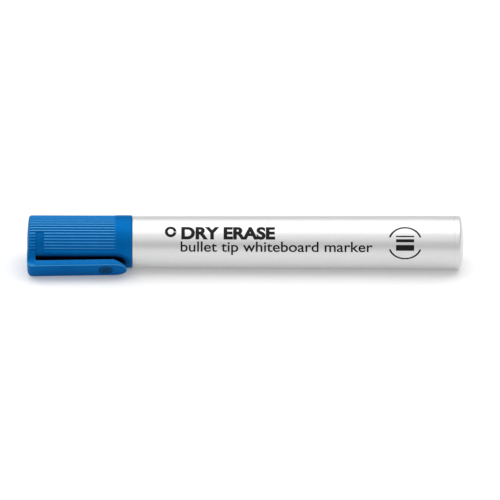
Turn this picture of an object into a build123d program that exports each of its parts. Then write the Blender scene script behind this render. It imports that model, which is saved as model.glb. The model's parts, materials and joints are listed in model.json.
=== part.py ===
from build123d import *
from math import acos, atan2, cos, degrees, hypot, radians, sin, sqrt
import os

# A capped whiteboard marker, lying as it rests on a table: +X runs along its axis from the cap to the
# tail, +Z is up, and the origin is the centre of its bounding box at table level.
# Each piece is first made about the X axis, with the cap's end at x = 0 and the clip straight above the
# axis (+Z), and is rolled and lifted into the resting pose at the end.

# ---- overall ----
LENGTH = 140.0              # end of the cap to end of the tail plug
CAP_R = 8.45                # outside radius of the cap's smooth skirt
CAP_LENGTH = 33.7           # end of the cap to its mouth

# ---- cap shell ----
CAP_WALL = 1.2
CAP_END_WALL = 1.6          # at the middle of the closed end
CAP_CROWN_R = 52.0          # slight dome of the closed end
CAP_CORNER_R = 1.0
MOUTH_EDGE_R = 0.25
SKIRT_BAND = 5.4            # smooth band between the ribs and the mouth
RIB_PITCH = 360 / 54        # degrees
RIBS_FROM, RIBS_TO = 7, 47  # rib numbers, counted round from the clip's centre line
RIB_SINK = 0.1              # the ribs' crests lie below the skirt
GROOVE_DEPTH = 0.28
GROOVE_SHARE = 0.62         # of the pitch that a groove's mouth takes
RUN_OUT = 1.0               # length over which a groove rises to the skirt
SLOT_DEPTH = 0.65           # of the round slot and of the relief below the clip
SLOT_WIDTH = 2.5
SLOT_HALF_ANGLE = 84.0      # from the clip's centre line
RELIEF_MARGIN = 0.45        # the relief is this much larger than the clip all round
SNAP_GROOVE_DEPTH = 0.15

# ---- pocket clip and its root block ----
ROOT_BLOCK = 2.84           # thickness of the block along the cap
CLIP_WIDTH = 6.9
CLIP_THICKNESS = 2.2
CLIP_GAP = 0.53             # skirt surface to the clip's inner face, at the root
CLIP_SLANT = 1.15           # degrees, towards the cap
CLIP_SETBACK = 1.6          # clip's tip to the cap's mouth
TIP_TAPER = 4.8             # length of the clip's rounded plan end
LEAD_IN = 4.3               # length of the bevel below the tip
LEAD_IN_EDGE = 0.4          # thickness left at the tip
CLIP_EDGE_R = 0.35
ROOT_EDGE_R = 1.2
ROOT_FLARE = 1.55           # extra half width where the block meets the cap
HINGE_INSET = 0.16          # bending line past the face of the root block
HINGE_CLEARANCE = 0.05
DISH_R, DISH_DEPTH = 2.0, 0.22
DISH_FROM_TIP = 7.1

# ---- inner cap ----
LINER_WALL = 0.9
LINER_FLOOR = 1.2
LINER_AIR_GAP = 0.85        # cap's bore to the cup
LIP_HEIGHT = 0.45           # of the sealing lip, inwards from the cup's bore
LIP_LENGTH = 2.5
SEAL_CLEARANCE = 0.05
LINER_RING = 2.0            # width of the two rings pressed into the cap

# ---- nib holder ----
MOUTH_GAP = 0.1             # cap's mouth to the barrel's front face
NECK_CLEARANCE = 0.12
BEAD_CLEARANCE = 0.05
BEAD_WIDTH = 1.2
BEAD_FROM_BARREL = 4.6
SHOULDER = 0.13             # step that seats on the barrel's front face
NECK_LENGTH = 8.8
NOSE_LENGTH = 10.0
NOSE_CONE = 3.5             # cone between the neck and the nose
NOSE_CHAMFER = 1.4
SPIGOT_LENGTH = 10.0
HOLDER_WALL = 1.0

# ---- nib, reservoir, wrap ----
NIB_R = 2.4
NIB_OUT = 5.8               # how far the nib stands out of the nose
NIB_IN_FIBRE = 6.0
WRAP = 0.2
RESERVOIR_GAP = 0.6         # wrap to the barrel's bore
RESERVOIR_CLEARANCE = 0.05  # wrap to the holder's spigot
RESERVOIR_SETBACK = 4.2     # behind the barrel's front face
WRAP_SETBACK = 1.5          # bare fibre at each end

# ---- barrel and tail plug ----
CAP_PROUD = 0.23            # the skirt stands above the barrel's front end
TAPER_RISE = 0.34           # gain in radius to the tail
TAIL_BAND = 10.0            # straight length of barrel at the tail
BARREL_EDGE_R = 0.2
PLUG_HEAD = 3.0
PLUG_CROWN_R = 36.0
PLUG_CORNER_R = 1.0
PLUG_SPIGOT = 8.0
PLUG_WALL = 1.0
STOP_R = 3.0                # tube that holds the reservoir forward
RESERVOIR_TAIL_SPACE = 15.0

# ---- worked out ----
cap_bore_r = CAP_R - CAP_WALL
neck_r = cap_bore_r - NECK_CLEARANCE
bore_r = neck_r - SHOULDER
front_r = CAP_R - CAP_PROUD
tail_r = front_r + TAPER_RISE
cup_r = cap_bore_r - LINER_AIR_GAP
cup_bore_r = cup_r - LINER_WALL
lip_r = cup_bore_r - LIP_HEIGHT
nose_r = lip_r - SEAL_CLEARANCE
wrap_r = bore_r - RESERVOIR_GAP
fibre_r = wrap_r - WRAP

barrel_front = CAP_LENGTH + MOUTH_GAP
neck_front = barrel_front - NECK_LENGTH
nose_front = neck_front - NOSE_LENGTH
nib_tip = nose_front - NIB_OUT
bead_x = barrel_front - BEAD_FROM_BARREL
holder_rear = barrel_front + SPIGOT_LENGTH
fibre_front = barrel_front + RESERVOIR_SETBACK
barrel_rear = LENGTH - PLUG_HEAD
fibre_rear = barrel_rear - RESERVOIR_TAIL_SPACE
rib_end = CAP_LENGTH - SKIRT_BAND
liner_front = nose_front + NOSE_LENGTH - NOSE_CONE - 1.0

clip_outer = CAP_R + CLIP_GAP + CLIP_THICKNESS
clip_middle = clip_outer - CLIP_THICKNESS / 2
clip_tip = CAP_LENGTH - CLIP_SETBACK
hinge_x = ROOT_BLOCK + HINGE_INSET

PAST = 1.0                  # how far a cutter runs past what it cuts
ALONG = Plane.XZ            # sketches of (distance along the axis, distance from it)
ACROSS = Plane.YZ


def turned(*outline):
    """Solid of revolution about the marker's axis from (along, radius) points."""
    return revolve(ALONG * make_face(Polyline(*outline, close=True)), Axis.X)


def tube(start, end, outer, inner):
    return turned((start, inner), (end, inner), (end, outer), (start, outer))


def rod(start, end, radius):
    return turned((start, 0), (end, 0), (end, radius), (start, radius))


def domed_rod(end, other, radius, crown_r, corner_r):
    """Rod from end to other, with a shallow dome and a rounded corner at end."""
    inward = 1 if other > end else -1

    def on_dome(r):
        return end + inward * (crown_r - sqrt(crown_r**2 - r**2)), r

    rim = on_dome(radius)
    dome = ThreePointArc((end, 0), on_dome(radius / 2), rim)
    rest = Polyline(rim, (other, radius), (other, 0), (end, 0))
    face = make_face(dome.edges() + rest.edges())
    corner = face.vertices().sort_by_distance((rim[0], radius, 0))[0]
    return revolve(ALONG * fillet(corner, corner_r), Axis.X)


def edges_at(solid, along, radius):
    """The circular edges with their centre at this place along the axis."""
    rings = solid.edges().filter_by(GeomType.CIRCLE)
    return [e for e in rings if abs(e.arc_center.X - along) < 0.01 and abs(e.radius - radius) < 0.01]


def plan_outline(margin):
    """The clip seen from outside: parallel sides and a half-elliptic end, grown by margin."""
    half = CLIP_WIDTH / 2 + margin
    straight = clip_tip - TIP_TAPER
    sides = Pos((ROOT_BLOCK + straight) / 2, 0) * Rectangle(straight - ROOT_BLOCK, 2 * half)
    end = Pos(straight, 0) * Ellipse(TIP_TAPER + margin, half)
    return sides + end


# ---- cap shell ----
def rib_grooves():
    """V grooves between the ribs, each rising to the skirt at its inner end."""
    root = CAP_R - RIB_SINK - GROOVE_DEPTH
    top = CAP_R + PAST
    half = CAP_R * radians(RIB_PITCH) * GROOVE_SHARE / 2 * (top - root) / GROOVE_DEPTH
    vee = ACROSS * make_face(Polyline((0, root), (half, top), (-half, top), close=True))
    straight = Pos(-PAST, 0, 0) * extrude(vee, PAST + rib_end - RUN_OUT)
    rise = (top - root) * RUN_OUT / (RIB_SINK + GROOVE_DEPTH)
    run_out = loft([Pos(rib_end - RUN_OUT, 0, 0) * vee.face(), Vertex(rib_end - RUN_OUT + rise, 0, top)])
    groove = straight + run_out
    middles = [RIB_PITCH * (k + 0.5) for k in range(RIBS_FROM - 1, RIBS_TO + 1)]
    return [Rot(angle, 0, 0) * groove for angle in middles]


def sunk_band():
    """The sector of the cap whose rib crests lie below the skirt."""
    low, high = CAP_R - RIB_SINK, CAP_R + PAST
    section = [(-PAST, low), (rib_end - RUN_OUT, low), (rib_end, CAP_R), (rib_end, high), (-PAST, high)]
    start = RIB_PITCH * (RIBS_FROM - 0.5)
    ring = revolve(ALONG * make_face(Polyline(*section, close=True)), Axis.X, 360 - 2 * start)
    return Rot(start, 0, 0) * ring


def root_block():
    """The block on the cap's closed end that the clip's arm springs from."""
    half, wide = CLIP_WIDTH / 2, CLIP_WIDTH / 2 + ROOT_FLARE
    foot = sqrt(CAP_R**2 - wide**2) - 0.3
    waist = CAP_R + CLIP_GAP
    right = [(wide, foot), (half, waist), (half, clip_outer)]
    left = [(-y, z) for y, z in reversed(right)]
    front = make_face(Polyline(*right, *left, close=True))
    front = fillet(front.vertices().sort_by(Axis.Y)[-2:], CLIP_EDGE_R)
    side = Pos(ROOT_BLOCK / 2, clip_outer / 2) * Rectangle(ROOT_BLOCK, clip_outer)
    side = fillet(side.vertices().sort_by_distance((0, clip_outer, 0))[0], ROOT_EDGE_R)
    block = extrude(ACROSS * front, ROOT_BLOCK) & extrude(ALONG * side, 2 * wide, both=True)
    seat = Cylinder(CLIP_THICKNESS / 2 + HINGE_CLEARANCE, CLIP_WIDTH + 2 * PAST, rotation=(90, 0, 0))
    return block - Pos(hinge_x, 0, clip_middle) * seat


def cap_shell():
    shell = domed_rod(0, CAP_LENGTH, CAP_R, CAP_CROWN_R, CAP_CORNER_R)
    shell = fillet(edges_at(shell, CAP_LENGTH, CAP_R), MOUTH_EDGE_R)
    floor_r = CAP_R - SLOT_DEPTH
    slot = Rot(-SLOT_HALF_ANGLE, 0, 0) * revolve(
        ALONG * Pos(ROOT_BLOCK + SLOT_WIDTH / 2, floor_r + PAST) * Rectangle(SLOT_WIDTH, 2 * PAST),
        Axis.X, 2 * SLOT_HALF_ANGLE)
    relief = extrude(plan_outline(RELIEF_MARGIN), clip_outer) - rod(-PAST, CAP_LENGTH, floor_r)
    shell = shell - sunk_band() - rib_grooves() - slot - relief
    shell = shell + (root_block() - rod(-PAST, CAP_LENGTH, cap_bore_r))
    shell = shell - rod(CAP_END_WALL, CAP_LENGTH + PAST, cap_bore_r)
    groove = tube(bead_x - BEAD_WIDTH, bead_x + BEAD_WIDTH, cap_bore_r + SNAP_GROOVE_DEPTH, nose_r)
    return shell - groove


# ---- pocket clip ----
def pocket_clip():
    """Sprung arm, with a rounded heel at its bending line, a bevelled tip and a round thumb dish."""
    inner = clip_outer - CLIP_THICKNESS
    side = make_face(Polyline((hinge_x, inner), (clip_tip - LEAD_IN, inner),
                              (clip_tip, clip_outer - LEAD_IN_EDGE), (clip_tip, clip_outer),
                              (hinge_x, clip_outer), close=True))
    arm = extrude(ALONG * side, CLIP_WIDTH, both=True) & extrude(plan_outline(0), 2 * clip_outer)
    rim = arm.faces().sort_by(Axis.Z)[-1].edges()
    arm = fillet([e for e in rim if e.center().X > hinge_x + 0.1], CLIP_EDGE_R)
    section = Pos(0, clip_outer / 2) * Rectangle(CLIP_WIDTH, clip_outer)
    section = fillet(section.vertices().sort_by(Axis.Y)[-2:], CLIP_EDGE_R)
    heel = Pos(hinge_x, 0, clip_middle) * Cylinder(CLIP_THICKNESS / 2, CLIP_WIDTH, rotation=(90, 0, 0))
    arm = arm + (heel & extrude(ACROSS * section, 2 * hinge_x))
    ball_r = (DISH_R**2 + DISH_DEPTH**2) / (2 * DISH_DEPTH)
    dish = Pos(clip_tip - DISH_FROM_TIP, 0, clip_outer - DISH_DEPTH + ball_r) * Sphere(ball_r)
    bend = Axis((hinge_x, 0, clip_middle), (0, 1, 0))
    return (arm - dish).rotate(bend, CLIP_SLANT)


# ---- inner cap ----
def inner_cap():
    """Soft cup pressed into the cap, with a lip that seals on the nose."""
    back = CAP_END_WALL
    cup = tube(back, liner_front, cup_r, cup_bore_r) + rod(back, back + LINER_FLOOR, cup_r)
    lip = tube(liner_front - LIP_LENGTH, liner_front, cup_r, lip_r)
    middle = (back + liner_front) / 2
    rings = [tube(x, x + LINER_RING, cap_bore_r, cup_bore_r) for x in (back, middle)]
    return cup + lip + rings


# ---- nib holder ----
def nib_holder():
    """Front section: nose, cone, neck with its snap bead, and the spigot pressed into the barrel."""
    cone_front = neck_front - NOSE_CONE
    nose_tip_r = nose_r - NOSE_CHAMFER / 2
    body = turned((nose_front, 0), (nose_front, nose_tip_r), (nose_front + NOSE_CHAMFER, nose_r),
                  (cone_front, nose_r), (neck_front, neck_r), (barrel_front, neck_r),
                  (barrel_front, bore_r), (holder_rear, bore_r), (holder_rear, 0))
    bead_r = cap_bore_r - BEAD_CLEARANCE
    half = BEAD_WIDTH / 2
    bead = turned((bead_x - half, neck_r - half), (bead_x - half, neck_r), (bead_x - half / 2, bead_r),
                  (bead_x + half / 2, bead_r), (bead_x + half, neck_r), (bead_x + half, neck_r - half))
    nib_bore = rod(nose_front - PAST, holder_rear, NIB_R)
    sleeve_r = NIB_R + HOLDER_WALL
    air_space = tube(neck_front + HOLDER_WALL, fibre_front - HOLDER_WALL, neck_r - 1.7 * HOLDER_WALL, sleeve_r)
    seat = rod(fibre_front - HOLDER_WALL, holder_rear + PAST, wrap_r + RESERVOIR_CLEARANCE)
    return body + bead - nib_bore - air_space - seat


# ---- nib, reservoir and its wrap ----
def nib():
    """Bullet tip of pressed fibre, with its tail in the reservoir."""
    tail = fibre_front + NIB_IN_FIBRE
    stem = rod(nib_tip, tail, NIB_R)
    dome = Pos(nib_tip + NIB_R, 0, 0) * Sphere(NIB_R)
    return (stem & dome) + rod(nib_tip + NIB_R, tail, NIB_R)


def ink_reservoir():
    return rod(fibre_front, fibre_rear, fibre_r) - rod(fibre_front - PAST, fibre_front + NIB_IN_FIBRE, NIB_R)


def reservoir_wrap():
    return tube(fibre_front + WRAP_SETBACK, fibre_rear - WRAP_SETBACK, wrap_r, fibre_r)


# ---- barrel ----
def barrel():
    """Tapered tube with a straight band at the tail."""
    shell = turned((barrel_front, 0), (barrel_front, front_r), (barrel_rear - TAIL_BAND, tail_r),
                   (barrel_rear, tail_r), (barrel_rear, 0))
    shell = fillet(edges_at(shell, barrel_front, front_r), BARREL_EDGE_R)
    return shell - rod(barrel_front - PAST, barrel_rear + PAST, bore_r)


# ---- tail plug ----
def tail_plug():
    """Domed end, flush with the barrel, on a hollow spigot, with a tube that stops the reservoir."""
    head = domed_rod(LENGTH, barrel_rear, tail_r, PLUG_CROWN_R, PLUG_CORNER_R)
    spigot = tube(barrel_rear - PLUG_SPIGOT, barrel_rear, bore_r, bore_r - PLUG_WALL)
    stop = tube(fibre_rear, barrel_rear, STOP_R, STOP_R - PLUG_WALL)
    return head + spigot + stop


# ---- resting pose ----
def lean():
    """Degrees from straight down to the clip's centre line, with a clip corner and the tail on the table."""
    rise = clip_outer - CLIP_EDGE_R
    side = CLIP_WIDTH / 2 - CLIP_EDGE_R
    return degrees(atan2(side, rise) + acos((tail_r - CLIP_EDGE_R) / hypot(rise, side)))


def resting(solid):
    """The solid rolled so that the clip lies low on the -Y side, and moved to the part's own frame."""
    angle = radians(90 - lean())
    rise = clip_outer - CLIP_EDGE_R
    side = CLIP_WIDTH / 2 - CLIP_EDGE_R
    reach = rise * cos(angle) + side * sin(angle) + CLIP_EDGE_R
    return Pos(-LENGTH / 2, (reach - tail_r) / 2, tail_r) * Rot(180 - lean(), 0, 0) * solid


pieces = [barrel, tail_plug, nib_holder, nib, ink_reservoir, reservoir_wrap, cap_shell, inner_cap, pocket_clip]

os.makedirs("parts", exist_ok=True)
for piece in pieces:
    export_step(resting(piece()), f"parts/{piece.__name__}.step")
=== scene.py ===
import json
from math import cos, pi, radians, sin, sqrt, tan

import bmesh
import bpy
import numpy as np
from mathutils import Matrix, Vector


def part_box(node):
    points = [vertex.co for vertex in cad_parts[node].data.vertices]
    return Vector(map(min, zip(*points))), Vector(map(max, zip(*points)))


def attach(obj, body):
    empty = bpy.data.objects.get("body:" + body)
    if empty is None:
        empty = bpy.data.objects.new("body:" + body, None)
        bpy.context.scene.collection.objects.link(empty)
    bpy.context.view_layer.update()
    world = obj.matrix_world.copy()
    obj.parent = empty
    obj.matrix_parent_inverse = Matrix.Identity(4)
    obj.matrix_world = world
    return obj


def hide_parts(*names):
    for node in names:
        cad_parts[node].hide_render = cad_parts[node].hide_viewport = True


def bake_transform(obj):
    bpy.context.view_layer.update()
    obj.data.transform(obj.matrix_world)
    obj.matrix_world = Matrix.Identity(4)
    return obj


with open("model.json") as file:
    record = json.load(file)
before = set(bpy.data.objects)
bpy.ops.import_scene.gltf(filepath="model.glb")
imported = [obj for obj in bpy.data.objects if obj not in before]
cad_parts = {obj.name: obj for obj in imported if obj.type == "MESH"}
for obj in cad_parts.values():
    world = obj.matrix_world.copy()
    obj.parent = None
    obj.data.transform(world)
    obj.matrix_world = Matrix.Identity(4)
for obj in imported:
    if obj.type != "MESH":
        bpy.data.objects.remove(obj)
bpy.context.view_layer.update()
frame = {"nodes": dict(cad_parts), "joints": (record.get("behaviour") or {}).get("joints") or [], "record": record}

# Barrel: a moulded tube of pearly silver plastic, slightly thicker towards the tail, with the last
# stretch straight. The plug and the nib holder press into its ends. Lengths are in millimetres along
# the marker from the cap's end (x) or out from its axis (r), and angles are taken round from the clip.
MM = 0.001
mounts = {m["name"]: m for m in frame["record"]["mounts"]}
joints = {j["name"]: j for j in frame["joints"]}
axis_y, axis_z = mounts["tail_band"]["pos_m"][1:]
cap_end_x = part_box("cap_shell")[0].x
_, side_y, side_z = (-c for c in joints["clip_flex"]["axis"])
SIDE = np.array([0, side_y, side_z])
OUT = np.array([0, -side_z, side_y])
ORIGIN = np.array([cap_end_x, axis_y, axis_z])


def along(metres):
    """A place along the marker in millimetres from the cap's end."""
    return (metres - cap_end_x) / MM


def to_row(x, side, out):
    """Millimetre arrays along, across and out towards the clip, as row-frame points in metres."""
    x, side, out = (np.asarray(c, float).ravel() for c in np.broadcast_arrays(x, side, out))
    return ORIGIN + MM * (x[:, None] * np.array([1, 0, 0]) + side[:, None] * SIDE + out[:, None] * OUT)


def round_corners(outline, steps=5):
    """The outline's (x, r) points, each corner with a third number rounded to that radius."""
    done = []
    count = len(outline)
    for i, point in enumerate(outline):
        here = Vector(point[:2])
        if len(point) == 2:
            done.append(tuple(here))
            continue
        before = (Vector(outline[i - 1][:2]) - here).normalized()
        after = (Vector(outline[(i + 1) % count][:2]) - here).normalized()
        half = before.angle(after) / 2
        reach = point[2] / tan(half)
        start, end = here + before * reach, here + after * reach
        centre = here + (before + after).normalized() * point[2] / sin(half)
        first, last = start - centre, end - centre
        turn = first.angle_signed(last)
        for k in range(steps + 1):
            a = -turn * k / steps
            done.append((centre.x + first.x * cos(a) - first.y * sin(a),
                         centre.y + first.x * sin(a) + first.y * cos(a)))
    return done


def mesh_piece(name, points, faces, material, smooth_angle=40, **painted):
    """A shaded mesh object from row-frame points and faces, with a number painted on each point."""
    mesh = bpy.data.meshes.new(name)
    mesh.from_pydata([tuple(p) for p in points], [], faces)
    mesh.validate()
    tidy = bmesh.new()
    tidy.from_mesh(mesh)
    bmesh.ops.recalc_face_normals(tidy, faces=tidy.faces)
    tidy.to_mesh(mesh)
    tidy.free()
    mesh.polygons.foreach_set("use_smooth", [True] * len(mesh.polygons))
    mesh.set_sharp_from_angle(angle=radians(smooth_angle))
    mesh.materials.append(material)
    for key, values in painted.items():
        mesh.attributes.new(key, "FLOAT", "POINT").data.foreach_set("value", np.asarray(values, float))
    piece = bpy.data.objects.new(name, mesh)
    bpy.context.scene.collection.objects.link(piece)
    return piece


def turned(name, outline, material, around=256, smooth_angle=40):
    """A closed ring of (x, r) points turned about the marker's axis; points on the axis become poles."""
    ring = round_corners(outline)
    angles = np.linspace(0, 2 * pi, around, endpoint=False)
    points, rows = [], []
    for x, r in ring:
        if abs(r) < 1e-6:
            rows.append([len(points)] * around)
            points.append(to_row(x, 0, 0)[0])
        else:
            rows.append(list(range(len(points), len(points) + around)))
            points.extend(to_row(x, r * np.sin(angles), r * np.cos(angles)))
    faces = []
    for a, b in zip(rows, rows[1:] + rows[:1]):
        for i in range(around):
            j = (i + 1) % around
            corners = list(dict.fromkeys((a[i], a[j], b[j], b[i])))
            if len(corners) > 2:
                faces.append(corners)
    return mesh_piece(name, points, faces, material, smooth_angle)


class Value:
    """A socket whose sums and products are written as plain expressions."""

    def __init__(self, finish, socket):
        self.finish, self.socket = finish, socket

    def maths(self, operation, *others):
        return self.finish.node("ShaderNodeMath", {"operation": operation}, dict(enumerate((self, *others))))

    def __add__(self, other):
        return self.maths("ADD", other)

    def __sub__(self, other):
        return self.maths("SUBTRACT", other)

    def __rsub__(self, other):
        return self.finish.number(other).maths("SUBTRACT", self)

    def __mul__(self, other):
        return self.maths("MULTIPLY", other)

    __radd__, __rmul__ = __add__, __mul__

    def between(self, low, high):
        """0 below low, 1 above high, smooth between."""
        return self.finish.node("ShaderNodeMapRange", {"interpolation_type": "SMOOTHSTEP"},
                                {"Value": self, "From Min": low, "From Max": high})


class Finish:
    """One material, built node by node, ending in a Principled shader."""

    def __init__(self, name, **constants):
        self.material = bpy.data.materials.new(name)
        self.material.use_nodes = True
        self.tree = self.material.node_tree
        self.shader = self.tree.nodes["Principled BSDF"]
        for key, value in constants.items():
            self.shader.inputs[key.replace("_", " ")].default_value = value
        self.place = self.node("ShaderNodeTexCoord", {}, {}, "Object")

    def node(self, kind, settings, sockets, output=0):
        """A node with its settings made first, then its sockets given values or links."""
        made = self.tree.nodes.new(kind)
        for key, value in settings.items():
            setattr(made, key, value)
        for key, value in sockets.items():
            if isinstance(value, Value):
                self.tree.links.new(value.socket, made.inputs[key])
            else:
                made.inputs[key].default_value = value
        return Value(self, made.outputs[output])

    def number(self, value):
        return self.node("ShaderNodeMath", {"operation": "ADD"}, {0: value, 1: 0.0})

    def stretched(self, x, y, z):
        """The place on the object with each axis multiplied, in metres."""
        return self.node("ShaderNodeVectorMath", {"operation": "MULTIPLY"}, {0: self.place, 1: (x, y, z)})

    def noise(self, scale, detail=2.0, stretch=(1, 1, 1), roughness=0.5):
        """Noise from 0 to 1; scale is in cells per metre before the stretch."""
        return self.node("ShaderNodeTexNoise", {"noise_dimensions": "3D"},
                         {"Vector": self.stretched(*stretch), "Scale": scale, "Detail": detail,
                          "Roughness": roughness})

    def blend(self, amount, low, high):
        """A colour between low and high."""
        return self.node("ShaderNodeMix", {"data_type": "RGBA"}, {0: amount, 6: low, 7: high}, 2)

    def feed(self, socket, value):
        self.tree.links.new(value.socket, self.shader.inputs[socket])

    def relief(self, *layers):
        """Bumps feeding Normal; each layer is a height and its depth in metres."""
        normal = None
        for height, depth in layers:
            sockets = {"Height": height, "Distance": depth, "Strength": 1.0}
            if normal:
                sockets["Normal"] = normal
            normal = self.node("ShaderNodeBump", {}, sockets)
        self.feed("Normal", normal)


def silver_plastic():
    """Pearly silver: fine flake sparkle, faint lengthwise draw lines, a few rubbed patches."""
    f = Finish("silver_plastic", Metallic=0.5)
    flake = f.noise(9000, 1.0)
    lines = f.noise(2600, 3.0, (0.02, 1, 1))
    handled = f.noise(70, 4.0, (0.5, 1, 1), 0.6)
    tone = f.blend(flake.between(0.3, 0.75), (0.68, 0.68, 0.68, 1), (0.77, 0.77, 0.77, 1))
    tone = f.blend(handled.between(0.55, 0.8) * 0.35, tone, (0.68, 0.675, 0.665, 1))
    f.feed("Base Color", tone)
    f.feed("Roughness", 0.32 + 0.06 * handled + 0.04 * lines)
    f.relief((flake, 2e-6), (lines, 3e-6), (f.noise(450, 2.0), 4e-6))
    return f.material


barrel_low, barrel_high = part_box("barrel")
tail_r = (barrel_high.z - barrel_low.z) / 2 / MM
barrel_front, barrel_rear = along(barrel_low.x), along(barrel_high.x)
plug_head = along(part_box("tail_plug")[1].x) - barrel_rear
STRAIGHT_ON_PLUG = 1.18
TAIL_BAND = mounts["tail_band"]["dims"]["length_mm"] - STRAIGHT_ON_PLUG
TAPER_RISE = 0.34
front_r = tail_r - TAPER_RISE
WALL_AT_FRONT = 1.22
bore_r = front_r - WALL_AT_FRONT

silver = silver_plastic()
barrel = turned("barrel_tube", [
    (barrel_front, bore_r, 0.1), (barrel_front, front_r, 0.22),
    (barrel_rear - TAIL_BAND, tail_r), (barrel_rear, tail_r, 0.07), (barrel_rear, bore_r)], silver, 320)
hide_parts("barrel")
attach(barrel, "barrel")

# Tail plug: a domed end of the same silver plastic, pressed into the barrel on a hollow spigot. The
# moulding gate leaves a small sunk dimple at its middle, and a tube inside stops the reservoir.
PLUG_CROWN_R = 36.0
PLUG_CORNER_R = 1.0
PLUG_SPIGOT = 8.0
PLUG_FLOOR = 0.8
STOP_R, STOP_BORE = 3.0, 2.0
GATE_R, GATE_DEPTH = 1.1, 0.14
length = barrel_rear + plug_head
stop_front = along(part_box("tail_plug")[0].x)


def dome(end, crown_r, radii, facing):
    """Points on a shallow dome whose top is at end, opening towards facing."""
    return [(end + facing * (crown_r - sqrt(crown_r**2 - r**2)), r) for r in radii]


rim = dome(length, PLUG_CROWN_R, [tail_r], -1)[0]
plug = turned("tail_plug_head", [
    (length - GATE_DEPTH, 0), (length - GATE_DEPTH, GATE_R - 0.2, 0.08), (length, GATE_R, 0.1),
    *dome(length, PLUG_CROWN_R, np.linspace(1.6, tail_r - 1.2, 8), -1), (*rim, PLUG_CORNER_R),
    (barrel_rear, tail_r, 0.07), (barrel_rear, bore_r), (barrel_rear - PLUG_SPIGOT, bore_r, 0.3),
    (barrel_rear - PLUG_SPIGOT, bore_r - 1), (barrel_rear + PLUG_FLOOR, bore_r - 1),
    (barrel_rear + PLUG_FLOOR, STOP_R), (stop_front, STOP_R), (stop_front, STOP_BORE),
    (barrel_rear + PLUG_FLOOR, STOP_BORE), (barrel_rear + PLUG_FLOOR, 0)], silver, 320)
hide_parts("tail_plug")
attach(plug, "barrel")

# Nib holder: the pale front section, turned smooth in its mould, pressed into the barrel by its
# spigot. Its neck carries the bead that the cap snaps over, and ink has crept round the nib.
NECK_LENGTH = 8.8
NOSE_LENGTH = 10.0
NOSE_CONE = 3.5
NOSE_CHAMFER = 1.4
NECK_R = bore_r + 0.13
NOSE_R = 5.0
BEAD_R = NECK_R + 0.07
BEAD_BACK, BEAD_WIDTH = 4.6, 1.2
NIB_R = 2.4
SPIGOT_BORE = 6.45
HOLDER_FLOOR = 3.2
neck_front = barrel_front - NECK_LENGTH
nose_front = neck_front - NOSE_LENGTH
holder_rear = along(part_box("nib_holder")[1].x)


def pale_plastic(name, tint, stain_at=None):
    """Unpolished white plastic with soft flow marks; ink stains it near stain_at, in row metres."""
    f = Finish(name, Subsurface_Weight=0.15, Subsurface_Scale=0.001, Coat_Weight=0.1)
    cloud = f.noise(260, 3.0)
    tone = f.blend(cloud.between(0.3, 0.7), tuple(0.93 * c for c in tint) + (1,), tint + (1,))
    if stain_at:
        x = f.node("ShaderNodeSeparateXYZ", {}, {0: f.place})
        edge = x + 0.0022 * f.noise(800, 4.0)
        stain = 1 - edge.between(stain_at + 0.0004, stain_at + 0.0034)
        tone = f.blend(stain * 0.9, tone, (0.010, 0.08, 0.30, 1))
    f.feed("Base Color", tone)
    f.feed("Roughness", 0.38 + 0.14 * cloud)
    f.relief((f.noise(1500, 3.0), 4e-6), (f.noise(320, 2.0), 8e-6))
    return f.material


bead = barrel_front - BEAD_BACK
stain_front = ORIGIN[0] + MM * nose_front
holder = turned("holder", [
    (nose_front, NIB_R, 0.12), (nose_front, NOSE_R - NOSE_CHAMFER / 2, 0.4),
    (nose_front + NOSE_CHAMFER, NOSE_R, 0.8), (neck_front - NOSE_CONE, NOSE_R, 1.0),
    (neck_front, NECK_R, 0.5), (bead - BEAD_WIDTH / 2, NECK_R, 0.1), (bead - BEAD_WIDTH / 4, BEAD_R, 0.1),
    (bead + BEAD_WIDTH / 4, BEAD_R, 0.1), (bead + BEAD_WIDTH / 2, NECK_R, 0.1), (barrel_front, NECK_R),
    (barrel_front, bore_r), (holder_rear, bore_r, 0.2), (holder_rear, SPIGOT_BORE),
    (barrel_front + HOLDER_FLOOR, SPIGOT_BORE), (barrel_front + HOLDER_FLOOR, NIB_R)],
    pale_plastic("holder_white", (0.58, 0.58, 0.56), stain_front), 192)
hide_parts("nib_holder")
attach(holder, "barrel")

# Nib: a bullet of pressed polyester fibre, soaked with blue ink, held in the holder's bore with its
# tail in the reservoir. The fibres run lengthwise, and the tip is ground to a rounded end.
BULLET = 3.6
nib_low, nib_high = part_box("nib")
nib_tip, nib_tail = along(nib_low.x), along(nib_high.x)


def inked_felt(name, grain, pale, dark):
    """Matted fibres along the marker, darker where the ink lies between them."""
    f = Finish(name, Sheen_Weight=0.08, Sheen_Roughness=0.5, Specular_IOR_Level=0.25)
    fibres = f.noise(grain, 4.0, (0.12, 1, 1), 0.65)
    pores = f.noise(grain * 0.6, 3.0)
    f.feed("Base Color", f.blend((fibres * 0.65 + pores * 0.35).between(0.35, 0.62), dark, pale))
    f.feed("Roughness", 0.72 + 0.2 * fibres)
    f.relief((fibres, 6e-5), (pores, 3e-5))
    return f.material


bullet_angles = [pi / 2 * k / 14 for k in range(1, 14)]
nib = turned("nib_bullet", [
    (nib_tip, 0), *[(nib_tip + BULLET * (1 - cos(a)), NIB_R * sin(a)) for a in bullet_angles],
    (nib_tip + BULLET, NIB_R), (nib_tail, NIB_R, 0.3), (nib_tail, 0)],
    inked_felt("nib_felt_inked", 4200, (0.010, 0.10, 0.36, 1), (0.002, 0.018, 0.10, 1)), 96, 80)
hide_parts("nib")
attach(nib, "barrel")

# Reservoir: a rod of bonded fibre that holds the ink, in a thin clear film, both closed in by the
# barrel, the holder and the plug. Their plain made shapes are right, so they only take finishes.
frame["nodes"]["ink_reservoir"].material_slots[0].material = inked_felt(
    "reservoir_fibre_inked", 1800, (0.05, 0.14, 0.45, 1), (0.01, 0.03, 0.18, 1))


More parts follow.
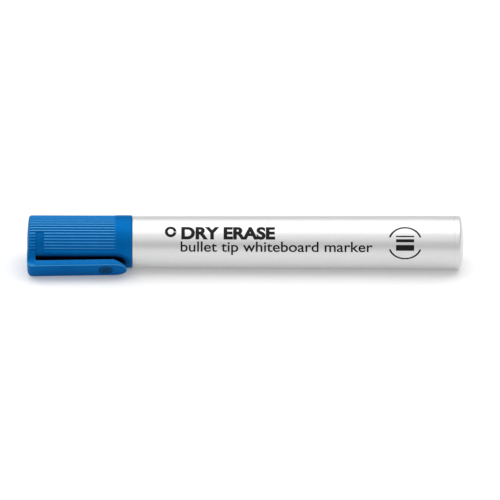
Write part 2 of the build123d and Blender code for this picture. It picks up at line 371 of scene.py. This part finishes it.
def clear_film():
    """Heat-shrunk film with fine wrinkles round the rod."""
    f = Finish("wrap_film_clear", Transmission_Weight=0.6, IOR=1.49)
    wrinkle = f.noise(700, 3.0, (1, 0.3, 0.3))
    f.feed("Base Color", f.blend(wrinkle, (0.80, 0.86, 0.95, 1), (0.95, 0.97, 1.0, 1)))
    f.feed("Roughness", 0.08 + 0.15 * wrinkle)
    f.relief((wrinkle, 4e-5))
    return f.material


frame["nodes"]["reservoir_wrap"].material_slots[0].material = clear_film()

# Inner cap: a soft white cup pressed into the cap. Its lip seals on the holder's nose and keeps the
# nib from drying; two rings hold it in the bore.
liner_low, liner_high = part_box("inner_cap")
liner_back, liner_front = along(liner_low.x), along(liner_high.x)
cap_bore_r = (liner_high.z - liner_low.z) / 2 / MM
CUP_R, CUP_BORE, LIP_R = cap_bore_r - 0.85, cap_bore_r - 1.75, cap_bore_r - 2.2
LINER_FLOOR, LINER_RING, LIP_LENGTH = 1.2, 2.0, 2.5
ring_2 = (liner_back + liner_front) / 2
liner = turned("liner", [
    (liner_back, 0), (liner_back, cap_bore_r, 0.2), (liner_back + LINER_RING, cap_bore_r, 0.2),
    (liner_back + LINER_RING, CUP_R, 0.1), (ring_2, CUP_R, 0.1), (ring_2, cap_bore_r, 0.2),
    (ring_2 + LINER_RING, cap_bore_r, 0.2), (ring_2 + LINER_RING, CUP_R, 0.1), (liner_front, CUP_R, 0.25),
    (liner_front, LIP_R, 0.35), (liner_front - LIP_LENGTH, LIP_R, 0.3),
    (liner_front - LIP_LENGTH, CUP_BORE, 0.1), (liner_back + LINER_FLOOR, CUP_BORE, 0.5),
    (liner_back + LINER_FLOOR, 0)], pale_plastic("liner_white", (0.84, 0.84, 0.82)), 160)
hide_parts("inner_cap")
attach(liner, "cap")

# Cap shell: blue polypropylene, moulded in one shot with its half-round grip ribs, the round slot
# and the sunk relief below the clip, and the block that the clip springs from. It is one skin: each
# column of the grid below is a place along the cap, and each row a direction round it.
CAP_R = cap_bore_r + 1.2
FIRST_RIB, RIBS_PER_SIDE = 43.8, 20
RIB_PITCH = (180 - FIRST_RIB) / RIBS_PER_SIDE
RIB_SINK, RIB_DEPTH = 0.10, 0.30
RIBS_END, RUN_OUT = 28.8, 1.2
CROWN_R, CORNER_R = 52.0, 1.0
BLOCK, SLOT_END = 2.84, 5.46
FLOOR_R = CAP_R - 0.65
SLOT_HALF_ANGLE = 82.5
CLIP_HALF, CLIP_TOP, CLIP_THICK = 3.45, 11.18, 2.2
CLIP_EDGE = 0.35
CLIP_CROWN = 0.10
FLARE_FROM, FLARE_ANGLE = 9.7, 39.0
BLOCK_CORNER_X, BLOCK_CORNER_R = 1.5, 2.4
TIP_TAPER, TIP_POWER, LEAD_IN, TIP_EDGE = 4.8, 2.35, 4.3, 0.4
RELIEF_FADE, CLEAR_OF_CLIP = 1.6, 9.0
END_WALL = 1.6
SNAP_DEPTH, SNAP_FLAT, SNAP_HALF = 0.14, 1.0, 1.3
# Painted highlight on the rib crests: its width, its strength, and the direction round the cap where it is
# brightest.
CREST_WIDTH, CREST_HIGHLIGHT = 0.17, 1.15
LIT_ANGLE, LIT_SPREAD = 95, 22
# Painted highlight line along the root block's outer edge.
BLOCK_EDGE_ANGLE, BLOCK_EDGE_SPREAD, BLOCK_EDGE_R = 16.7, 1.2, 9
# Painted shade on the slot's floor.
SLOT_SHADE = 0.07
cap_length = along(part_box("cap_shell")[1].x)
clip_tip = cap_length - 1.6


def ease(t):
    """Smooth step from 0 to 1 on arrays."""
    t = np.clip(t, 0, 1)
    return t * t * (3 - 2 * t)


def mix(a, b, t):
    return a * (1 - t) + b * t


def ridge(x, centre, width):
    """1 at centre, falling off smoothly over about width on both sides."""
    return np.exp(-((x - centre) / width) ** 2)


def quads(a, b, count):
    """Faces between two closed loops of count points that start at points a and b."""
    return [(a + i, a + (i + 1) % count, b + (i + 1) % count, b + i) for i in range(count)]


def block_section():
    """Polar radius of the root block's section by angle from the clip's centre line."""
    flat = np.linspace(0, CLIP_HALF - CLIP_EDGE, 30)
    turn = np.linspace(0, pi / 2, 10)[1:]
    shoulder = CLIP_TOP - CLIP_CROWN
    foot = radians(FLARE_ANGLE)
    end = np.array([CAP_R * sin(foot), CAP_R * cos(foot)])
    start = np.array([CLIP_HALF, FLARE_FROM])
    knee = np.array([CLIP_HALF, end[1] + (end[0] - CLIP_HALF) * tan(foot)])
    t = np.linspace(0, 1, 40)[:, None]
    flare = (1 - t) ** 2 * start + 2 * t * (1 - t) * knee + t**2 * end
    side = np.concatenate([flat, CLIP_HALF - CLIP_EDGE + CLIP_EDGE * np.sin(turn), flare[:, 0]])
    out = np.concatenate([CLIP_TOP - CLIP_CROWN * (flat / CLIP_HALF) ** 2,
                          shoulder - CLIP_EDGE + CLIP_EDGE * np.cos(turn), flare[:, 1]])
    return np.degrees(np.arctan2(side, out)), np.hypot(side, out)


def steps(*stretches):
    """Sorted angles from (start, end, step) stretches, less any that fall almost on the one before."""
    angles = np.unique(np.concatenate([np.arange(a, b, s) for a, b, s in stretches]))
    return angles[np.diff(angles, prepend=-1) > 0.01]


ribs_start = FIRST_RIB - 0.5 * RIB_PITCH
half_turn = steps((0, 14, 1), (14, 24, 0.2), (24, ribs_start, 0.5),
                  (ribs_start, 180, RIB_PITCH / 14), (81, 84.2, 0.2))
half_turn = half_turn[half_turn < 179.99]
turn = np.concatenate([half_turn, [180], 360 - half_turn[:0:-1]])
away = np.minimum(turn, 360 - turn)
ang = np.radians(turn)
block_angle, block_radius = block_section()
block_r = np.interp(away, block_angle, block_radius, right=0)
on_block = ease((FLARE_ANGLE - away) / 14)
phase = (away - FIRST_RIB) / RIB_PITCH
ribbed = phase >= -0.5


def rib_depth():
    """How far each direction lies below the skirt in the ribbed zone."""
    from_groove = np.abs(phase - 0.5 - np.round(phase - 0.5))
    height = np.sin(pi * np.minimum(from_groove * np.where(ribbed, 1, 1.6), 0.5))
    last_flank = (away > ribs_start - 0.32 * RIB_PITCH) & ~ribbed
    depth = RIB_DEPTH * (1 - height ** 0.85)
    return np.where(ribbed, RIB_SINK + depth, np.where(last_flank, (RIB_SINK + RIB_DEPTH) * (1 - height), 0))


def clip_distance(x, side):
    """Signed distance in plan from the clip's outline, negative below the clip."""
    straight = clip_tip - TIP_TAPER
    over = np.maximum(x - straight, 0)
    u, v, p = over / TIP_TAPER, np.abs(side) / CLIP_HALF, TIP_POWER
    f = (u**p + v**p) ** (1 / p) + 1e-6
    slope = np.hypot(u ** (p - 1) / TIP_TAPER, v ** (p - 1) / CLIP_HALF) * f ** (1 - p) + 1e-6
    return np.where(over > 0, (f - 1) / slope, np.abs(side) - CLIP_HALF)


sunk = rib_depth()
slot_here = ease((SLOT_HALF_ANGLE + 0.7 - away) / 1.4)


def run_out(x):
    """1 along the ribs, fading to 0 where they run into the plain skirt."""
    return 1 - ease((x - (RIBS_END - RUN_OUT)) / RUN_OUT)


def skin(x):
    """Radius of the cap's outside at x, for every direction."""
    r = CAP_R - sunk * run_out(x)
    over_clip = clip_distance(x, CAP_R * np.sin(ang)) if x > BLOCK else np.full_like(ang, CLEAR_OF_CLIP)
    over_clip = np.where(away < 90, over_clip, CLEAR_OF_CLIP)
    relief = 1 - ease((over_clip + 0.4) / (RELIEF_FADE + 0.4))
    return r - (CAP_R - FLOOR_R) * relief


def end_face(r):
    """Dome of the cap's end, flattened where the root block carries it outwards."""
    domed = CROWN_R - np.sqrt(CROWN_R**2 - np.minimum(r, CAP_R) ** 2)
    flat = on_block * ease((r - 1.5) / 5)
    return domed * (1 - 0.85 * flat)


EDGE, NICK = 0.12, 0.005
quarter = np.linspace(0, pi / 2, 5)


def wall(x, before, after, left_edge=1.0):
    """Columns that step from one radius to another at x, with both edges rounded."""
    fall = after - before
    soft = np.sign(fall) * np.minimum(EDGE, np.abs(fall) / 2)
    left = [(x - EDGE + (EDGE - NICK) * sin(a), before + soft * left_edge * (1 - cos(a))) for a in quarter]
    right = [(x + NICK + (EDGE - NICK) * (1 - cos(a)), after - soft * (1 - sin(a))) for a in quarter]
    return left + right


band = np.maximum(skin(0), block_r)
corner_x, corner_r = mix(CORNER_R, BLOCK_CORNER_X, on_block), mix(CORNER_R, BLOCK_CORNER_R, on_block)
face_r = band - corner_r
face_x = end_face(face_r)
columns = [(end_face(face_r * f), face_r * f) for f in (0.1, 0.25, 0.4, 0.55, 0.7, 0.82, 0.92, 1.0)]
columns += [(face_x + corner_x * (1 - cos(a)), face_r + corner_r * sin(a))
            for a in np.linspace(0, pi / 2, 10)[1:]]
columns += [(mix(face_x + corner_x, BLOCK - EDGE, f), band) for f in (0.35, 0.7)]
slot_floor = mix(skin(BLOCK + NICK), FLOOR_R, slot_here)
columns += wall(BLOCK, band, slot_floor, np.where(away < 23, 0.02, 1.0))
columns += [(mix(BLOCK, SLOT_END, f), slot_floor) for f in (0.3, 0.5, 0.7)]
columns += wall(SLOT_END, slot_floor, skin(SLOT_END))
columns += [(x, skin(x)) for x in (6.2, 9, 13, 17, 21, 24.5, 26.2)]
columns += [(x, skin(x)) for x in np.linspace(RIBS_END - RUN_OUT, cap_length - 0.3, 20)]
MOUTH_EDGE = 0.28
mouth_r = skin(cap_length)
columns += [(cap_length - MOUTH_EDGE * (1 - sin(a)), mouth_r - MOUTH_EDGE * (1 - cos(a))) for a in quarter]
bore = [(cap_length, cap_bore_r + 0.18), (cap_length - 0.06, cap_bore_r + 0.06),
        (cap_length - 0.2, cap_bore_r)]
bore += [(bead + SNAP_HALF, cap_bore_r), (bead + SNAP_FLAT, cap_bore_r + SNAP_DEPTH),
         (bead - SNAP_FLAT, cap_bore_r + SNAP_DEPTH), (bead - SNAP_HALF, cap_bore_r),
         (END_WALL + 0.5, cap_bore_r), (END_WALL + 0.15, cap_bore_r - 0.13),
         (END_WALL, cap_bore_r - 0.5), (END_WALL, cap_bore_r / 2)]
columns += bore
rows = len(ang)
# Painted highlight: paler colour along the rib crests, strongest round the side turned up to the lights and
# fainter on the end band next to the root block.
lit_side = 0.6 + 0.6 * ridge(away, LIT_ANGLE, LIT_SPREAD)
crest_highlight = CREST_HIGHLIGHT * lit_side * ribbed * ridge(phase, np.round(phase), CREST_WIDTH)
near_block = 1 - 0.6 * ease((78 - away) / 12)
# Painted highlight line along the root block's outer edge, carrying on the clip's edge line.
block_edge_highlight = ridge(away, BLOCK_EDGE_ANGLE, BLOCK_EDGE_SPREAD)
grid, worn, grimy = [to_row(0, 0, 0)], [np.zeros(1)], [np.zeros(1)]
for x, r in columns:
    x, r = x * np.ones(rows), r * np.ones(rows)
    rib_highlight = crest_highlight * run_out(x) * np.where(x > BLOCK, r > FLOOR_R + 0.4, (r > FLOOR_R - 0.1) * near_block)
    # Painted shade: near-black colour on the sunk relief below the clip, fading out just past its outline, and a
    # light touch of it on the slot's floor.
    shade_below_clip = ease((0.25 - clip_distance(x, r * np.sin(ang))) / 1.1) * (away < 90)
    outside = (r > cap_bore_r + 0.4) & (x > BLOCK)
    grid.append(to_row(x, r * np.sin(ang), r * np.cos(ang)))
    worn.append(rib_highlight + block_edge_highlight * (x < BLOCK) * (r > BLOCK_EDGE_R))
    shade_in_slot = SLOT_SHADE * slot_here * (x < SLOT_END)
    grimy.append(np.maximum(shade_below_clip, shade_in_slot) * outside * (r < CAP_R - 0.1))
grid.append(to_row(END_WALL, 0, 0))
worn.append(np.zeros(1))
grimy.append(np.zeros(1))
points = np.concatenate(grid)
last = len(points) - 1
faces = [(0, 1 + (i + 1) % rows, 1 + i) for i in range(rows)]
for c in range(len(columns) - 1):
    a, b = 1 + c * rows, 1 + (c + 1) * rows
    faces += quads(a, b, rows)
end = last - rows
faces += [(end + i, end + (i + 1) % rows, last) for i in range(rows)]


def blue_plastic(name):
    """Satin blue moulding: soft flow marks, grain and a few scuffs; paler where highlights are painted on crests
    and edges, near-black where shade is painted below the clip, in the slot and in the thumb spot.
    """
    f = Finish(name, Metallic=0.25, Specular_IOR_Level=0.02, Specular_Tint=(0.3, 0.8, 1.0, 1))
    worn = f.node("ShaderNodeAttribute", {"attribute_name": "worn"}, {}, "Fac")
    grimy = f.node("ShaderNodeAttribute", {"attribute_name": "grimy"}, {}, "Fac")
    cloud = f.noise(220, 3.0, (0.6, 1, 1))
    scuff = f.noise(3400, 2.0, (0.06, 1, 1)).between(0.62, 0.74) * f.noise(150, 2.0).between(0.5, 0.7)
    # Painted highlights from the attribute, with a few real scuffs added.
    highlight_and_scuff = worn * (0.75 + 0.5 * f.noise(420, 2.0)) + scuff * 0.15
    tone = f.blend(cloud.between(0.25, 0.75), (0.0010, 0.112, 0.36, 1), (0.0020, 0.127, 0.40, 1))
    tone = f.blend(highlight_and_scuff, tone, (0.062, 0.30, 0.61, 1))
    # Painted shade takes the colour towards near-black.
    f.feed("Base Color", f.blend(grimy, tone, (0.004, 0.004, 0.016, 1)))
    f.feed("Roughness", 0.36 + 0.08 * cloud + 0.1 * scuff)
    f.relief((f.noise(5000, 2.0), 1.5e-6), (f.noise(600, 2.0), 4e-6))
    return f.material


blue = blue_plastic("cap_blue")
cap = mesh_piece("cap_ribbed", points, faces, blue, 50,
                 worn=np.concatenate(worn), grimy=np.concatenate(grimy))
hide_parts("cap_shell")
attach(cap, "cap")

# Pocket clip: a sprung arm moulded with the cap. It leaves the root block with a small fillet, leans
# in towards the barrel, ends in a full rounded tip with a bevel below it that rides over a pocket's
# edge, and has a round sunk thumb spot.
LEAN = 1.15
ROOT_FILLET = 0.5
OVERLAP = 0.1
LOWER_EDGE = 0.22
SPOT_R, SPOT_DEPTH, SPOT_BACK = 2.5, 0.26, 6.8
RING_R, RING_WIDTH, RING_HEIGHT = 1.5, 0.3, 0.14
# Painted highlights on the clip's outer edge, lower edge and thumb spot ring, and painted shade in the spot's
# hollow.
EDGE_HIGHLIGHT, LOWER_EDGE_HIGHLIGHT, RING_HIGHLIGHT, SPOT_SHADE = 1.9, 1.4, 0.5, 0.62
GRAIN = 0.16
BEND_END = 10.0
root = BLOCK
tip_start = clip_tip - TIP_TAPER
spot_x = clip_tip - SPOT_BACK


def clip_top(x, side):
    """Outer face, crowned across, with the thumb spot."""
    r = np.hypot(x - spot_x, side)
    spot = SPOT_DEPTH * (1 - ease((r - SPOT_R + 0.35) / 0.4))
    raised = RING_HEIGHT * ridge(r, RING_R, RING_WIDTH)
    return CLIP_TOP - CLIP_CROWN * (side / CLIP_HALF) ** 2 - spot + raised


def clip_bottom(x):
    """Inner face: root fillet, long flat, then the bevel up to the tip."""
    fillet = np.clip((root + ROOT_FILLET - x) / ROOT_FILLET, 0, 1)
    rise = np.clip((x - clip_tip + LEAD_IN) / LEAD_IN, 0, 1)
    flat = CLIP_TOP - CLIP_THICK
    return flat - ROOT_FILLET * (1 - np.sqrt(1 - fillet**2)) + rise * (CLIP_THICK - TIP_EDGE)


def edge_drop(distance, size):
    """How far a rounded edge of this size has fallen at a distance inside the outline."""
    inside = np.clip(distance, 0, size)
    return size - np.sqrt(np.maximum(size**2 - (size - inside) ** 2, 0))


stations = np.concatenate([
    [root - OVERLAP, root], root + ROOT_FILLET * np.array([0.1, 0.25, 0.45, 0.7, 1.0]),
    np.linspace(4.0, spot_x - SPOT_R - 0.4, 24), np.arange(spot_x - SPOT_R - 0.2, tip_start, GRAIN),
    tip_start + TIP_TAPER * np.sin(np.linspace(0.02, 0.985, 36) * pi / 2)])
near_edge = np.array([0, 0.012, 0.04, 0.09, 0.16, 0.25, CLIP_EDGE])
middle = np.linspace(-CLIP_HALF + CLIP_EDGE, CLIP_HALF - CLIP_EDGE, 41)[1:-1]
across_top = np.concatenate([near_edge - CLIP_HALF, middle, CLIP_HALF - near_edge[::-1]]) / CLIP_HALF
lower_edge = np.array([0, 0.012, 0.05, 0.12, LOWER_EDGE])
across_bottom = np.concatenate([CLIP_HALF - lower_edge, [2, 1, 0, -1, -2], lower_edge[::-1] - CLIP_HALF])
loops, worn, grimy = [], [], []
for x in stations:
    half = CLIP_HALF * (1 - (max(x - tip_start, 0) / TIP_TAPER) ** TIP_POWER) ** (1 / TIP_POWER)
    top_side, low_side = half * across_top, half * across_bottom / CLIP_HALF
    thick = CLIP_TOP - clip_bottom(x)
    top_edge, low_edge = min(CLIP_EDGE, 0.5 * thick), min(LOWER_EDGE, 0.4 * thick)
    top_in, low_in = -clip_distance(x, top_side), -clip_distance(x, low_side)
    upper = clip_top(x, top_side) - edge_drop(top_in, top_edge)
    lower = clip_bottom(x) + edge_drop(low_in, low_edge)
    from_spot = np.hypot(x - spot_x, top_side)
    # Painted highlight lines along the rounded outer and lower edges and round the raised ring.
    worn_top = EDGE_HIGHLIGHT * ridge(top_in, 0.14, 0.07) + RING_HIGHLIGHT * ridge(from_spot, RING_R, 0.25)
    worn.append(np.concatenate([worn_top, LOWER_EDGE_HIGHLIGHT * ridge(low_in, 0.08, 0.05)]))
    # Painted shade darkens the thumb spot's hollow.
    grimy.append(np.concatenate([SPOT_SHADE * (1 - ease((from_spot - SPOT_R + 0.5) / 0.6)), 0 * low_in]))
    side = np.concatenate([top_side, low_side])
    out = np.concatenate([upper, lower]) - sin(radians(LEAN)) * max(x - root, 0)
    loops.append(to_row(x, side, out))
ring = len(loops[0])
faces = [tuple(range(ring)), tuple(range((len(loops) - 1) * ring, len(loops) * ring))]
for c in range(len(loops) - 1):
    faces += quads(c * ring, (c + 1) * ring, ring)
clip = mesh_piece("clip_arm", np.concatenate(loops), faces, blue, 50,
                  worn=np.concatenate(worn), grimy=np.concatenate(grimy))
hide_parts("pocket_clip")
tuple(to_row(root, 0, 0)[0])
tuple(to_row(BEND_END, 0, 0)[0])
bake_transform(clip)

# Printing: one pass of black ink on the barrel, a skin a few hundredths of a millimetre thick. The
# words are generic, with a plain ring before them and a line-width symbol in a broken ring after.
INK_UNDER, INK_OVER = 0.03, 0.012
VIEW_TILT = 29.2
TITLE, TITLE_FROM, TITLE_WIDTH, TITLE_HEIGHT, TITLE_RISE = "DRY ERASE", 49.5, 30.0, 4.05, 0.95
LINE, LINE_FROM, LINE_WIDTH, LINE_HEIGHT, LINE_RISE = "bullet tip whiteboard marker", 49.3, 61.4, 3.50, -3.25
TITLE_BOLD, LINE_BOLD = 0.045, 0.010
STRIP = 0.09
CAPITAL = 0.729
DOT_X, DOT_RISE, DOT_R, DOT_HOLE = 46.1, 3.25, 1.85, 0.95
BADGE_X, BADGE_RISE, BADGE_R, BADGE_LINE = 121.1, -0.4, 5.55, 0.55
BARS = ((2.25, 0.45), (0.85, 1.0), (-1.45, 1.9))
BAR_LENGTH = 5.8


def black_ink():
    """Screen ink: dense, slightly uneven, with pin holes too small to see through."""
    f = Finish("print_ink_black", Specular_IOR_Level=0.15)
    cover = f.noise(2500, 3.0)
    f.feed("Base Color", f.blend(cover.between(0.3, 0.8), (0.004, 0.004, 0.004, 1), (0.012, 0.012, 0.012, 1)))
    f.feed("Roughness", 0.50 + 0.15 * cover)
    f.relief((cover, 2e-6))
    return f.material


ink = black_ink()


def barrel_radius(x):
    straight = barrel_rear - TAIL_BAND
    return front_r + TAPER_RISE * np.clip((x - barrel_front) / (straight - barrel_front), 0, 1)


def wrapped(x, rise, depth):
    """Points on the barrel: x along it, rise up round it from the printed side, depth 0 to 1 outwards."""
    r = barrel_radius(x)
    skin_r = r - INK_UNDER + (INK_UNDER + INK_OVER) * depth
    angle = radians(VIEW_TILT) + rise / r
    return np.stack([ORIGIN[0] + MM * x, axis_y - MM * skin_r * np.cos(angle),
                     axis_z + MM * skin_r * np.sin(angle)], 1)


def ink_piece(name, points, faces):
    piece = mesh_piece(name, points, faces, ink, 60)
    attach(piece, "barrel")
    return piece


def printed_words(name, text, start, width, height, rise, bold):
    """Lettering set flat, cut into narrow strips, and wrapped round the barrel."""
    curve = bpy.data.curves.new(name, "FONT")
    curve.body = text
    curve.offset = bold
    curve.extrude = 0.5
    setter = bpy.data.objects.new(name + "_set", curve)
    bpy.context.scene.collection.objects.link(setter)
    bpy.context.view_layer.update()
    flat = bpy.data.meshes.new_from_object(setter.evaluated_get(bpy.context.evaluated_depsgraph_get()))
    bpy.data.objects.remove(setter)
    letters = bmesh.new()
    letters.from_mesh(flat)
    bmesh.ops.remove_doubles(letters, verts=letters.verts, dist=1e-5)
    ys = [v.co.y for v in letters.verts]
    for level in np.arange(min(ys), max(ys), STRIP):
        bmesh.ops.bisect_plane(letters, geom=letters.verts[:] + letters.edges[:] + letters.faces[:],
                               plane_co=(0, level, 0), plane_no=(0, 1, 0), dist=1e-6)
    bmesh.ops.remove_doubles(letters, verts=letters.verts, dist=4e-4)
    co = np.array([v.co for v in letters.verts])
    letters.verts.index_update()
    faces = [[v.index for v in f.verts] for f in letters.faces]
    letters.free()
    x = start + (co[:, 0] - co[:, 0].min()) * width / np.ptp(co[:, 0])
    up = rise + co[:, 1] * height / CAPITAL
    return ink_piece(name, wrapped(x, up, co[:, 2] + 0.5), faces)


def printed_band(name, start, end, inner, outer, cells, place):
    """A closed strip of ink; place(t, w) gives x and rise, t from start to end and w from inner to outer."""
    t = np.linspace(start, end, cells)
    w = np.linspace(inner, outer, 8)
    depth = np.repeat([0.0, 1.0], len(w))
    across = np.concatenate([w, w[::-1]])
    loops = [wrapped(*place(np.full(len(across), a), across), depth) for a in t]
    count = len(across)
    faces = [tuple(range(count)), tuple(range((cells - 1) * count, cells * count))]
    for c in range(cells - 1):
        faces += quads(c * count, (c + 1) * count, count)
    return ink_piece(name, np.concatenate(loops), faces)


def round_about(x, rise):
    return lambda t, w: (x + w * np.cos(t), rise + w * np.sin(t))


printed_words("print_title", TITLE, TITLE_FROM, TITLE_WIDTH, TITLE_HEIGHT, TITLE_RISE, TITLE_BOLD)
printed_words("print_line", LINE, LINE_FROM, LINE_WIDTH, LINE_HEIGHT, LINE_RISE, LINE_BOLD)
printed_band("print_dot", 0, 1.96 * pi, DOT_HOLE, DOT_R, 64, round_about(DOT_X, DOT_RISE))
for k, start in enumerate((0.12, 1.12)):
    printed_band(f"print_badge_arc_{k}", start * pi, (start + 0.76) * pi, BADGE_R - BADGE_LINE, BADGE_R, 72,
                 round_about(BADGE_X, BADGE_RISE))
for k, (height, thick) in enumerate(BARS):
    printed_band(f"print_badge_bar_{k}", BADGE_X - BAR_LENGTH / 2, BADGE_X + BAR_LENGTH / 2,
                 BADGE_RISE + height - thick / 2, BADGE_RISE + height + thick / 2, 6, lambda t, w: (t, w))

# Setting: the marker lies on a pale, faintly glowing table below a wide overhead light and a brighter
# one just behind it, and is seen square on from a little above.
CAMERA_AWAY = 3.0
VIEW_WIDTH = 0.1604
AIM_X, AIM_DOWN = 0.00149, 0.00263
ROLL = 0.15
SENSOR = 36.0


def table_top():
    f = Finish("table_pale", Roughness=0.6, Emission_Color=(1, 1, 1, 1), Emission_Strength=0.2)
    f.feed("Base Color", f.blend(f.noise(40, 3.0), (0.70, 0.70, 0.70, 1), (0.74, 0.74, 0.74, 1)))
    return f.material


bpy.ops.mesh.primitive_plane_add(size=6.0, location=(0, 0, 0))
table = bpy.context.object
table.name = "table"
table.data.materials.append(table_top())


def soft_light(name, place, aim, size, watts):
    lamp = bpy.data.lights.new(name, "AREA")
    lamp.shape, lamp.size, lamp.size_y, lamp.energy = "RECTANGLE", size[0], size[1], watts
    thing = bpy.data.objects.new(name, lamp)
    thing.location = place
    thing.rotation_euler = (Vector(aim) - Vector(place)).to_track_quat("-Z", "Y").to_euler()
    bpy.context.scene.collection.objects.link(thing)


soft_light("overhead_wide", (0, -0.51, 1.21), (0, -0.51, 0), (3.0, 2.96), 20)
soft_light("overhead_core", (0, 0.5, 1.2), (0, 0.5, 0), (3.0, 1.8), 21)

world = bpy.data.worlds.new("studio")
world.use_nodes = True
world.node_tree.nodes["Background"].inputs["Color"].default_value = (1, 1, 1, 1)
world.node_tree.nodes["Background"].inputs["Strength"].default_value = 0.3
bpy.context.scene.world = world
bpy.context.scene.view_settings.view_transform = "Standard"

lens = bpy.data.cameras.new("camera")
lens.sensor_width = SENSOR
lens.lens = SENSOR * CAMERA_AWAY / VIEW_WIDTH
lens.clip_start, lens.clip_end = 0.01, 20
camera = bpy.data.objects.new("camera", lens)
bpy.context.scene.collection.objects.link(camera)
bpy.context.scene.camera = camera
tilt = radians(VIEW_TILT)
look = Vector((0, cos(tilt), -sin(tilt)))
upward = Vector((0, sin(tilt), cos(tilt)))
middle = Vector((AIM_X, axis_y, axis_z)) - AIM_DOWN * upward
camera.location = middle - CAMERA_AWAY * look
facing = look.to_track_quat("-Z", "Y")
camera.rotation_euler = facing.to_euler()
camera.rotation_euler.rotate_axis("Z", radians(ROLL))
